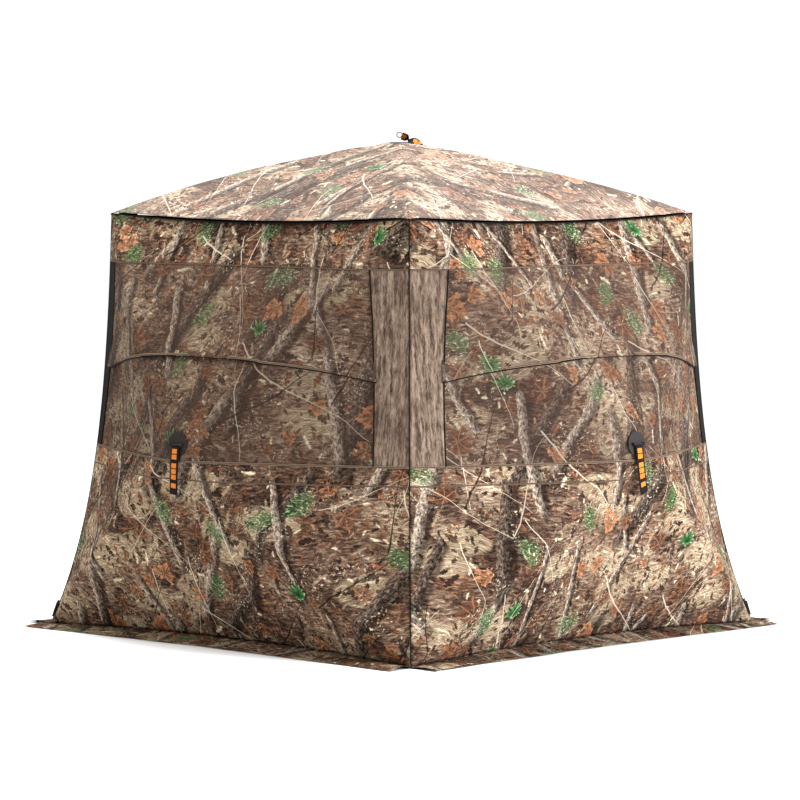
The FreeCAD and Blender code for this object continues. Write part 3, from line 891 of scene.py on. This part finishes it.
def build_floor():
    material, g, shader = new_material("pale_floor", 0.9)
    tone = g.noise(object_place(g), 0.5, 2.0, 0.5)
    g.give(shader, "Base Color", g.mix(tone, (0.86, 0.86, 0.86), (0.9, 0.9, 0.9)))
    side = FLOOR_HALF
    corners = [(-side, -side, 0), (side, -side, 0), (side, side, 0), (-side, side, 0)]
    floor = new_object("floor", corners, [(0, 1, 2, 3)], [material])
    floor.location.z = FLOOR_Z


def build_lights():
    for name, place, size, power, tint in (
        ("top_light", (0.3, -0.3, 7.0), 5.0, 800.0, (1.0, 1.0, 1.0)),
        ("right_light", (8.8, 2.4, 2.2), 4.2, 1420.0, (0.94, 1.0, 1.10)),
    ):
        light = bpy.data.lights.new(name, "AREA")
        light.size = size
        light.energy = power
        light.color = tint
        aim(bpy.data.objects.new(name, light), place, Vector((0, 0, 1.0)))


def build_camera():
    azimuth = math.radians(CAMERA_AZIMUTH_DEG)
    camera = bpy.data.cameras.new("camera")
    camera.lens = CAMERA_LENS
    camera.sensor_width = 36.0
    obj = bpy.data.objects.new("camera", camera)
    place = (CAMERA_DISTANCE * math.sin(azimuth), -CAMERA_DISTANCE * math.cos(azimuth), CAMERA_Z)
    right = Vector((math.cos(azimuth), math.sin(azimuth), 0))
    aim(obj, place, Vector((0, 0, AIM_Z)) - right * AIM_LEFT)
    bpy.context.scene.camera = obj


# -------------------- the shell

def hem_z(x):
    """The lower edge of a window flap, which rises to the middle of the window."""
    t = np.clip(np.abs(x) / window_half(HEM_END_Z, True), 0, 1)
    return HEM_END_Z + HEM_RISE * (1 - t ** 2.5)


def wall_panels(wall, looks):
    """The wall's own cloth: a valance, a lower wall and a column at each side of the window."""
    left_bark, right_bark = BARK_CORNERS[wall]
    column = {True: looks.bark, False: looks.mesh}

    def whole(z):
        return -seam_half(z), seam_half(z)

    def left_side(z):
        return -seam_half(z), -window_half(z, left_bark)

    def right_side(z):
        return window_half(z, right_bark), seam_half(z)

    def top(x):
        return WINDOW_TOP_Z, eave_z(x)

    def foot(x):
        return foot_z(x), WINDOW_BOTTOM_Z

    def band(x):
        return WINDOW_BOTTOM_Z, WINDOW_TOP_Z

    for name, x_edges, z_edges, outer in (
        ("valance", whole, top, looks.shell),
        ("lower_wall", whole, foot, looks.shell),
        ("left_column", left_side, band, column[left_bark]),
        ("right_column", right_side, band, column[right_bark]),
    ):
        wall_patch(name, wall, x_edges, z_edges, outer, looks.lining, "wall_cloth")


def window_covers(wall, looks):
    """The flap and, a little behind it, the screen; they overlap at the flap's hem."""

    def sides(z):
        left, right = (window_half(z, bark) + COVER_REACH for bark in BARK_CORNERS[wall])
        return -left, right

    def flap_span(x):
        return hem_z(x), WINDOW_TOP_Z + COVER_OVERLAP

    def screen_span(x):
        return WINDOW_BOTTOM_Z - COVER_OVERLAP, hem_z(x) + 0.03

    def flap_lift(x, v):
        return -FLAP_SINK + FLAP_LIFT * smooth_step(0.25, 0.0, v) * (0.6 + 0.4 * np.sin(9 * x + 1.3))

    def screen_lift(x, v):
        return -SCREEN_SINK

    for name, span, lift in (("flap", flap_span, flap_lift), ("screen", screen_span, screen_lift)):
        node = "window_" + name
        wall_patch(name, wall, sides, span, looks.window, looks.lining, node, lift)


def wall_seams(wall, looks):
    """The strips sewn on a wall: across it, on the flap's hem and up the sides of the window, and a dark
    strip under the hem that is painted shadow.
    """
    t = np.linspace(-1, 1, 160)
    for name, height, width in (
        ("window_top_seam", WINDOW_TOP_Z, 0.006),
        ("window_foot_seam", WINDOW_BOTTOM_Z, 0.008),
        ("lower_seam", LOWER_SEAM_Z, 0.006),
    ):
        z = np.full(len(t), height)
        x = t * (seam_half(z) - 0.002)
        wall_strip(name, wall, x, z, width, 0.0018, looks.tape)

    left, right = (window_half(HEM_END_Z, bark) + 0.010 for bark in BARK_CORNERS[wall])
    x = -left + (right + left) * (t + 1) / 2
    wall_strip("flap_hem", wall, x, hem_z(x) + 0.004, 0.009, SEAM_THICK, looks.tape, 0.006)
    # A dark strip just under the flap's hem: painted shadow cast by the hem.
    wall_strip("hem_painted_shadow", wall, x, hem_z(x) - 0.003, 0.006, 0.0015, looks.dark_tape, 0.004)

    z = np.linspace(WINDOW_BOTTOM_Z, WINDOW_TOP_Z, 60)
    for name, sign, bark in zip(("left", "right"), (-1, 1), BARK_CORNERS[wall]):
        x = sign * (window_half(z, bark) + 0.002)
        wall_strip("opening_edge_" + name, wall, x, z, 0.006, SEAM_THICK, looks.dark_tape)


def root_seam(name, degrees, points, normal, looks):
    """A dark strip on a seam that stays with the root."""
    normals = np.tile(np.array(normal, float), (len(points), 1))
    points, normals = turned(points, degrees), turned(normals, degrees)
    strip, _ = path_strip(name, points, normals, 0.004, SEAM_THICK, looks.dark_tape)
    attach(strip, "root")


def corner_seam(wall, looks):
    """The seam at the right end of a wall."""
    z = np.linspace(0.01, EAVE_Z - 0.004, 150)
    points = np.stack([seam_half(z), -seam_half(z), z], axis=-1)
    root_seam("corner_seam_" + wall, WALL_TURN_DEG[wall], points, unit([1.0, -1.0, 0.0]), looks)


def eave_seam(wall, looks):
    x = np.linspace(-1, 1, 140) * EAVE_HALF
    points = np.stack([x, np.full_like(x, -EAVE_HALF - 0.003), eave_z(x) - 0.001], axis=-1)
    root_seam("eave_seam_" + wall, WALL_TURN_DEG[wall], points, (0, -0.8, 0.6), looks)


def roof_print(x, y):
    return np.stack([x + ROOF_PRINT_SHIFT[0], y + ROOF_PRINT_SHIFT[1], 0 * x], axis=-1)


def build_roof(looks):
    """The roof, one sheet, with a seam on each of its four ridges."""
    count = int(round(2 * EAVE_HALF / STEP)) + 1
    side = np.linspace(-EAVE_HALF, EAVE_HALF, count)
    x, y = np.meshgrid(side, side)
    p = np.stack([x, y, roof_z(x, y)], axis=-1)
    roof = cloth_grid("roof_sheet", p, roof_print(x, y), looks.roof, looks.lining)
    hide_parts("roof_cloth")
    carry(roof)

    t = np.linspace(0.03, 0.998, 90)
    normals = np.tile([0, 0, 1.0], (len(t), 1))
    for end, sy in (("front", -1), ("back", 1)):
        for side, sx in (("left", -1), ("right", 1)):
            x, y = sx * t * EAVE_HALF, sy * t * EAVE_HALF
            points = np.stack([x, y, roof_z(x, y)], axis=-1)
            name = "ridge_seam_%s_%s" % (end, side)
            coords = roof_print(x, y)
            strip, index = path_strip(name, points, normals, 0.007, 0.0014, looks.roof, coords)
            carry(strip)


def build_skirt(looks):
    """Four strips that lie on the ground outside the walls, with uneven outer edges."""
    columns, rows = int(2.1 / STEP) + 1, 18
    u, v = np.meshgrid(np.linspace(-1, 1, columns), np.linspace(0, 1, rows))
    for k, (wall, degrees) in enumerate(WALL_TURN_DEG.items()):
        x = u * (BASE_HALF + 0.012 * v)
        wave = ripple(x, 0.4 * v, 31 + k, 6, 0.7, 0.10)
        slope = (foot_z(x) - 0.004) * (1 - v) ** 1.6
        swell = np.sin(np.pi * np.clip(v, 0, 1)) ** 1.5
        z = 0.0028 + slope + 0.006 * swell * (0.7 + 0.6 * wave)
        z = z + 0.004 * smooth_step(0.95, 1.0, np.abs(u)) * np.sin(np.pi * v * 0.9)
        z = np.clip(z, 0.0020, None)
        edge = 0.008 * (ripple(x, 0 * x, 41 + k) - 1.0) * v
        out = foot_out(x) - 0.008 + (SKIRT_WIDTH + 0.008) * v + edge
        y = -np.minimum(out, BASE_HALF + SKIRT_WIDTH)
        p = turned(np.stack([x, y, z], axis=-1), degrees)
        coords = wall_print(x, v * SKIRT_WIDTH - 0.3, wall)
        piece = cloth_grid("skirt_" + wall, p, coords, looks.shell, looks.lining, flip=True)
        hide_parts("ground_skirt")
        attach(piece, "root")


# -------------------- the pockets of the poles' tips

def build_pocket(name, corner, hub, outward, degrees, lining):
    """A cloth pocket inside a corner, open towards the hub: sewn along both sides, with slack for the
    pole's tip.
    """
    way = unit(hub - corner)
    across = unit(np.cross(way, outward))
    normal = np.cross(across, way)
    normal = normal * np.sign(normal @ outward)
    corner, way, across, normal = turned(np.array([corner, way, across, normal]), degrees)
    u, v = np.meshgrid(np.linspace(-1, 1, 9), np.linspace(0, 1, 9))
    middle = corner + way * (POCKET_START + POCKET_LENGTH * v)[..., None] - normal * POCKET_SINK
    spread = POCKET_SPREAD * (1 + v)
    sag = POCKET_DEPTH * (1 - u ** 2) * (0.35 + 0.65 * v)
    p = middle + across * (u * spread)[..., None] - normal * sag[..., None]
    coords = np.stack([u * 0.04, v * 0.08, 0 * u], axis=-1)
    piece = cloth_grid(name, p, coords, lining, lining)
    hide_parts("corner_pockets")
    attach(piece, "root")


def build_pockets(lining):
    """Two pockets at each ground corner and three at each eave corner."""
    wall_hub, roof_hub = np.array([0.0, -WALL_PEAK_OUT, HUB_Z]), np.array([0.0, 0.0, ROOF_PEAK_Z])
    outward, upward = np.array([0.0, -1.0, 0.0]), np.array([0.0, 0.0, 1.0])
    for wall, degrees in WALL_TURN_DEG.items():
        for level, z, half in (("upper", EAVE_Z, EAVE_HALF), ("lower", 0.0, BASE_HALF)):
            for side, sign in (("left", -1), ("right", 1)):
                corner = np.array([sign * half, -half, z])
                name = "pocket_%s_%s_%s" % (wall, level, side)
                build_pocket(name, corner, wall_hub, outward, degrees, lining)
        corner = np.array([EAVE_HALF, -EAVE_HALF, EAVE_Z])
        build_pocket("pocket_roof_" + wall, corner, roof_hub, upward, degrees, lining)


# -------------------- the straps and the parts from CAD

def swing_joint(name):
    return next(j for j in frame["joints"] if j["name"] == "pull_strap_%s_swing" % name)


def rolled(normals, way, degrees):
    """Normals turned about a strap's own direction, so that the web twists along its length."""
    angle = np.radians(degrees)[:, None]
    return normals * np.cos(angle) + np.cross(way, normals) * np.sin(angle)


def build_strap(name, material, way, length, normal, curl, lean=0.0, roll=0.0):
    """The webbing on a hub's bar, on the strap's own body, with a soft curl away from the cloth."""
    joint = swing_joint(name)
    t = np.linspace(0, 1, 40)
    points = np.array(joint["pos_m"]) + np.outer(t * length, way)
    points = points + np.outer(curl * np.sin(t * math.pi), normal)
    points = points + np.outer(lean * t ** 2, joint["axis"])
    normals = rolled(np.tile(normal, (len(t), 1)), way, roll * smooth_step(0.0, 0.45, t))
    obj, _ = path_strip("webbing_" + name, points, normals, STRAP_WIDTH, STRAP_THICK, material)
    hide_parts("pull_strap_" + name)
    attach(obj, "pull_strap_" + name)


def build_roof_strap(material):
    """The roof's strap leans back over the cap on one diagonal, and its tail lies down to the roof."""
    rise = math.radians(ROOF_STRAP_RISE_DEG)
    out = np.array([1.0, 1.0, 0.0]) / math.sqrt(2)
    up = np.array([0.0, 0.0, 1.0])
    way = up * math.sin(rise) - out * math.cos(rise)
    normal = out * math.sin(rise) + up * math.cos(rise)
    build_strap("roof", material, way, ROOF_STRAP_LENGTH, normal, ROOF_STRAP_CURL, roll=ROOF_STRAP_ROLL_DEG)
    bar = np.array(swing_joint("roof")["pos_m"])
    t = np.linspace(0, 1, 20)
    reach = ROOF_TAIL_REACH
    end = np.array([reach, reach, float(roof_z(reach, reach)) + 0.003])
    points = bar + np.outer(t, end - bar)
    normals = rolled(np.tile(up, (len(t), 1)), out, ROOF_STRAP_ROLL_DEG * np.sin(math.pi * t ** 0.8))
    name = "webbing_roof_tail"
    tail, index = path_strip(name, points, normals, STRAP_WIDTH, STRAP_THICK, material)
    carry(tail)


def build_straps():
    """A strap that hangs from each wall's hub, and the roof's."""
    strap = strap_material()
    down = np.array([0.0, 0.0, -1.0])
    for wall, degrees in WALL_TURN_DEG.items():
        normal = turned(np.array([0.0, -1.0, 0.0]), degrees)
        build_strap(wall, strap, down, STRAP_LENGTH, normal, STRAP_CURL, STRAP_LEAN[wall])
    build_roof_strap(strap)


def dress_cad(lining):
    """Gives the CAD nodes that stay their materials, by the start of their names."""
    black = moulded_plastic("hub_nylon", (0.013, 0.009, 0.007))
    materials = {
        "hub_core": black,
        "hub_cap": black,
        "hub_pins": metal("pin_steel", (0.62, 0.62, 0.62), 0.3),
        "pole_": moulded_plastic("pole_fibre", (0.03, 0.03, 0.032), 0.35),
        "roof_pull_ring": metal("ring_metal", (0.10, 0.09, 0.08), 0.4),
        "stake_eyelets": moulded_plastic("eyelet_black", (0.03, 0.03, 0.03), 0.4),
        "corner_pockets": lining,
        "door_zip_tape": lining,
        "door_zip_slider": metal("zip_metal", (0.12, 0.12, 0.12), 0.4),
    }
    for name, obj in frame["nodes"].items():
        for start, material in materials.items():
            if name.startswith(start):
                obj.data.materials.clear()
                obj.data.materials.append(material)
                if material == lining:
                    set_print(obj, [v.co for v in obj.data.vertices])


def cloth_looks():
    group = woodland_group()
    return SimpleNamespace(
        shell=cloth_material("shell_print", group, 1.16, 0.90, 1.2),
        # The roof is a lighter, greyer copy of the shell print with a pale overlay: painted top light and
        # painted sheen.
        roof=cloth_material("roof_print", group, 1.25, 0.76, 1.1, 0.08, "b5a59b", shine=0.12),
        window=cloth_material("window_print", group, 0.86, 0.92, 1.1, 0.36, "43332b"),
        lining=plain_cloth("black_lining", (0.012, 0.012, 0.012)),
        bark=bark_material(),
        mesh=plain_cloth("black_mesh", (0.006, 0.0055, 0.005)),
        tape=stitched_tape("seam_tape", "4a3a2f", "8d7b66"),
        dark_tape=stitched_tape("dark_tape", "0f0b09", "2b231d"),
    )


def main():
    set_world()
    build_floor()
    build_lights()
    build_camera()
    looks = cloth_looks()
    for wall in WALL_TURN_DEG:
        wall_panels(wall, looks)
        window_covers(wall, looks)
        wall_seams(wall, looks)
        corner_seam(wall, looks)
    build_roof(looks)
    for wall in WALL_TURN_DEG:
        eave_seam(wall, looks)
    build_skirt(looks)
    build_pockets(looks.lining)
    build_straps()
    dress_cad(looks.lining)


main()
